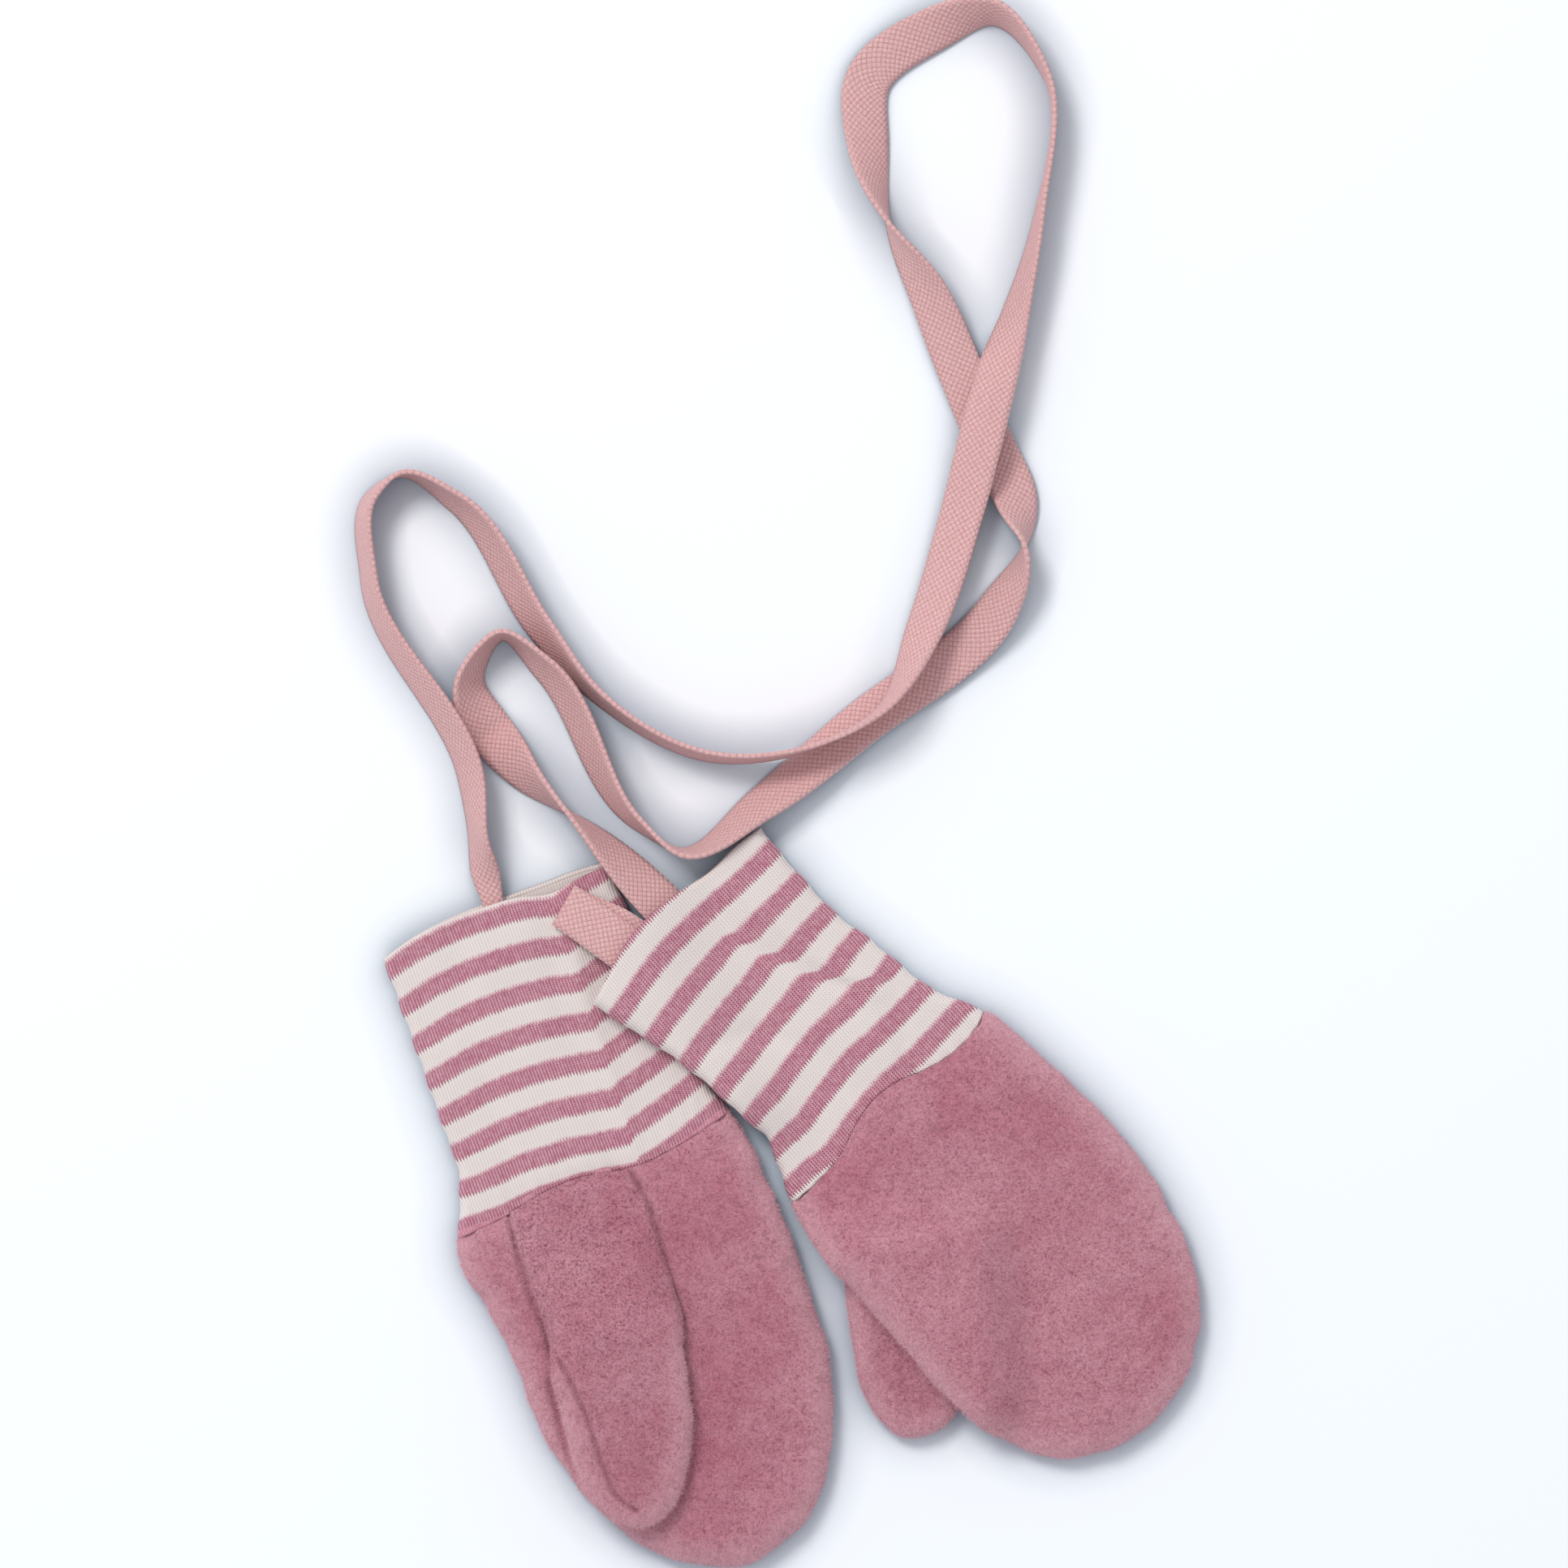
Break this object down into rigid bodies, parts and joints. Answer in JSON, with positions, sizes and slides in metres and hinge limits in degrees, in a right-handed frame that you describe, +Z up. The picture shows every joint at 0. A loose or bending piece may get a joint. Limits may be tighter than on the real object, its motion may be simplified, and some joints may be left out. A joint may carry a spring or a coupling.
{
  "type": "pair of baby's mittens on a tape",
  "caption": "Soft fleece mittens with long striped cuffs, laid flat, one palm up and one back up, joined from cuff to cuff by one flat woven tape.",
  "frame": {"origin": "on the surface, under the middle of the two mittens as they lie; the tape is left out of that middle", "axes": "+Z up from the surface; -Y towards the finger tips, +Y towards the tape; +X to the right seen from above"},
  "size_m": [0.2027, 0.3761, 0.0147],
  "materials": {
    "fleece": "mottled dusty rose fleece",
    "cuff_jersey": "fine jersey, purple pink and cream stripes",
    "tape": "flat woven tape, dusty pink"
  },
  "bodies": {
    "root": {"palm_up_cuff": "cuff_jersey", "palm_up_back": "fleece", "palm_up_palm": "fleece", "palm_up_thumb_front": "fleece", "palm_up_thumb_back": "fleece", "back_up_cuff": "cuff_jersey", "back_up_back": "fleece", "back_up_palm": "fleece", "back_up_thumb_front": "fleece", "back_up_thumb_back": "fleece", "tape": "tape", "tape_loop": "tape"}
  },
  "joints": []
}
